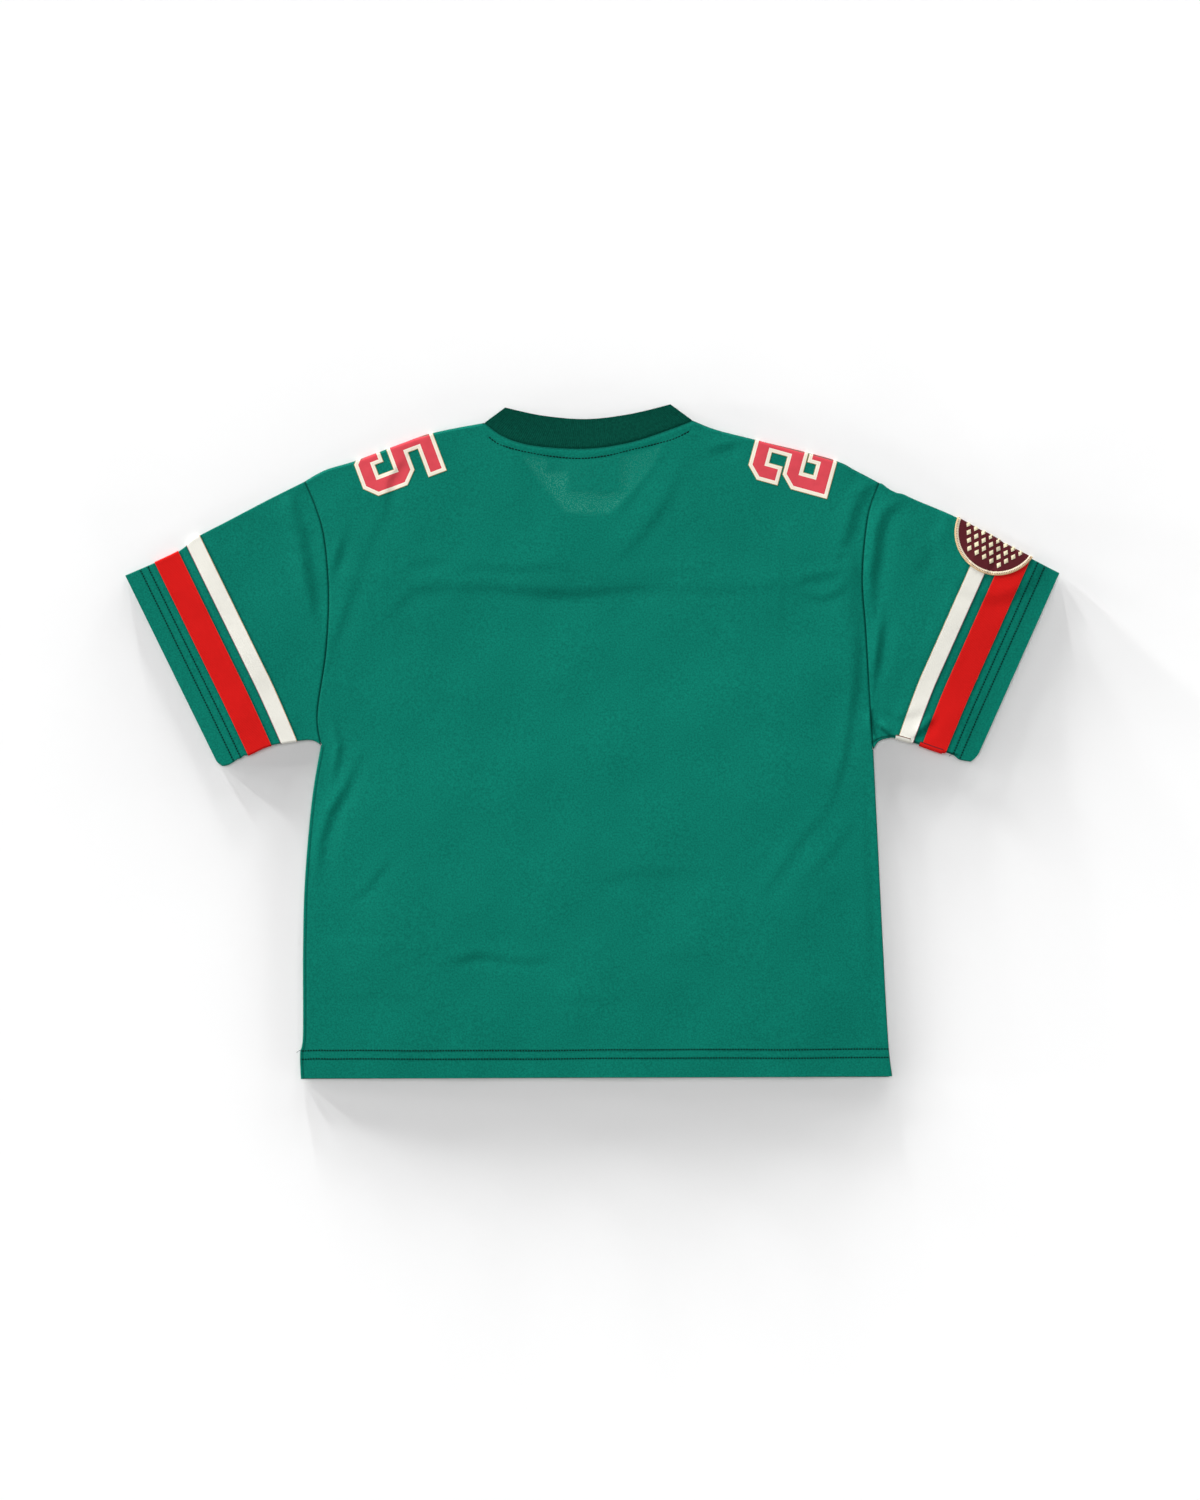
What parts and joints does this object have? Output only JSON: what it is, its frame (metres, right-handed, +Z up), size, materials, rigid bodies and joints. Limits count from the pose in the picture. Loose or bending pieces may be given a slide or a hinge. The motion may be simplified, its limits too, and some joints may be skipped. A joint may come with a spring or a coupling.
{
  "type": "short-sleeved jersey t-shirt laid flat",
  "caption": "Boxy V-neck jersey t-shirt lying flat with its back up, with rib collar, taped sleeves, block numerals on the shoulders and a round sleeve patch.",
  "frame": {"origin": "on the surface the shirt lies on, under the middle of its length and width", "axes": "+X to the right across the garment as seen from above with the collar away from the viewer, +Y from hem to collar, +Z up from the surface"},
  "size_m": [0.7282, 0.5258, 0.009],
  "materials": {
    "jersey": "smooth polyester jersey, soft low sheen",
    "rib": "knitted rib, matt",
    "red_tape": "woven tape, matt",
    "white_tape": "woven tape, matt",
    "patch_cloth": "merrowed cloth patch, burgundy with a cream edge",
    "numeral_film": "satin numeral, coral red with a cream edge",
    "label": "satin label, blank"
  },
  "bodies": {
    "root": {"back_panel": "jersey", "front_panel": "jersey", "sleeve_left": "jersey", "sleeve_right": "jersey", "collar": "rib", "tape_red_left": "red_tape", "tape_red_right": "red_tape", "tape_white_left": "white_tape", "tape_white_right": "white_tape", "patch": "patch_cloth", "number_left": "numeral_film", "number_right": "numeral_film", "neck_label": "label", "size_tab": "label", "care_label": "label"}
  },
  "joints": []
}
